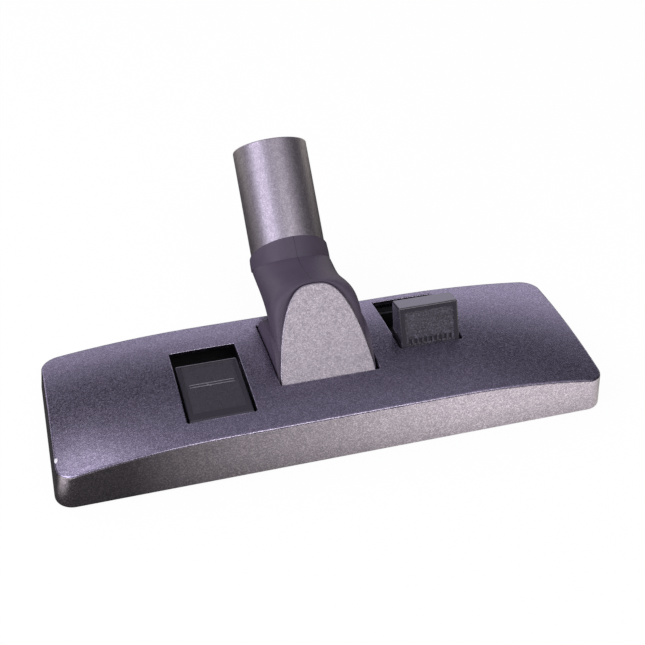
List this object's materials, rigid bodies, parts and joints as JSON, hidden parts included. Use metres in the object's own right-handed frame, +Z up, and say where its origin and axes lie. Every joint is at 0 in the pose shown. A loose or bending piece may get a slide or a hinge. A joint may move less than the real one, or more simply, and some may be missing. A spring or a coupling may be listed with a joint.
{
  "type": "vacuum cleaner floor head",
  "caption": "Low vacuum floor head with a tilting neck, a swivelling hose tube and paired foot pedals that raise or lower a brush frame.",
  "frame": {"origin": "middle of the sole plate's underside, under the middle of the head", "axes": "+X along the head to its right end, +Y to the rear where the tube leans, +Z up"},
  "size_m": [0.27, 0.1668, 0.0915],
  "materials": {
    "cover_paint": "fine metallic flake in a dark lilac-grey coat",
    "pedal_gloss": "glossy near-black",
    "neck_plastic": "plain moulded dark grey",
    "tube_paint": "metallic grey coat",
    "black_plastic": "plain moulded black",
    "steel": "plain steel",
    "lint": "short pile",
    "bristle": "stiff filament rows",
    "wheel": "soft tread"
  },
  "bodies": {
    "housing": {"top_cover": "cover_paint", "chassis": "black_plastic", "sole_plate": "steel", "front_lint_strip": "lint", "rear_lint_strip": "lint", "detent_spring": "steel", "neck_cap_left": "black_plastic", "neck_cap_right": "black_plastic", "left_axle": "steel", "right_axle": "steel", "cover_screws": "steel", "cap_screws": "steel"},
    "left_pedal": {"left_pedal": "pedal_gloss", "left_pedal_shaft": "steel", "left_shift_crank": "black_plastic", "left_lift_crank": "black_plastic"},
    "right_pedal": {"right_pedal": "pedal_gloss", "right_pedal_shaft": "steel", "right_shift_crank": "black_plastic", "right_lift_crank": "black_plastic"},
    "slider": {"shift_slider": "black_plastic"},
    "brush": {"brush_frame": "black_plastic", "front_bristles": "bristle", "rear_bristles": "bristle"},
    "neck": {"neck_left_shell": "neck_plastic", "neck_right_shell": "neck_plastic", "neck_front_plate": "tube_paint"},
    "tube": {"tube": "tube_paint"},
    "left_wheel": {"left_wheel": "wheel"},
    "right_wheel": {"right_wheel": "wheel"}
  },
  "joints": [
    {"name": "neck_tilt", "type": "hinge", "parent": "housing", "child": "neck", "pos_m": [0, 0.0087, 0.0108], "axis": [1, 0, 0], "range_deg": [0, 35]},
    {"name": "tube_swivel", "type": "hinge", "parent": "neck", "child": "tube", "pos_m": [0, 0.0621, 0.0348], "axis": [0, 0.7408, 0.6717], "continuous": true},
    {"name": "left_pedal_turn", "type": "hinge", "parent": "housing", "child": "left_pedal", "pos_m": [0, -0.0254, 0.016], "axis": [1, 0, 0], "range_deg": [0, 70]},
    {"name": "right_pedal_turn", "type": "hinge", "parent": "housing", "child": "right_pedal", "pos_m": [0, 0, 0.013], "axis": [1, 0, 0], "range_deg": [-70, 0]},
    {"name": "shift_slide", "type": "slide", "parent": "housing", "child": "slider", "axis": [0, 1, 0], "range_m": [0, 0.00805], "deforming": ["detent_spring"]},
    {"name": "brush_lift", "type": "slide", "parent": "housing", "child": "brush", "axis": [0, 0, 1], "range_m": [-0.00805, 0]},
    {"name": "left_wheel_spin", "type": "hinge", "parent": "housing", "child": "left_wheel", "pos_m": [-0.1, 0.027, 0.00555], "axis": [1, 0, 0], "continuous": true},
    {"name": "right_wheel_spin", "type": "hinge", "parent": "housing", "child": "right_wheel", "pos_m": [0.1, 0.027, 0.00555], "axis": [1, 0, 0], "continuous": true}
  ],
  "couplings": [
    {"joint": "right_pedal_turn", "follows": "left_pedal_turn", "ratio": -1},
    {"joint": "shift_slide", "follows": "left_pedal_turn", "m_per_rad": 0.0065727},
    {"joint": "brush_lift", "follows": "left_pedal_turn", "m_per_rad": -0.0065727}
  ]
}
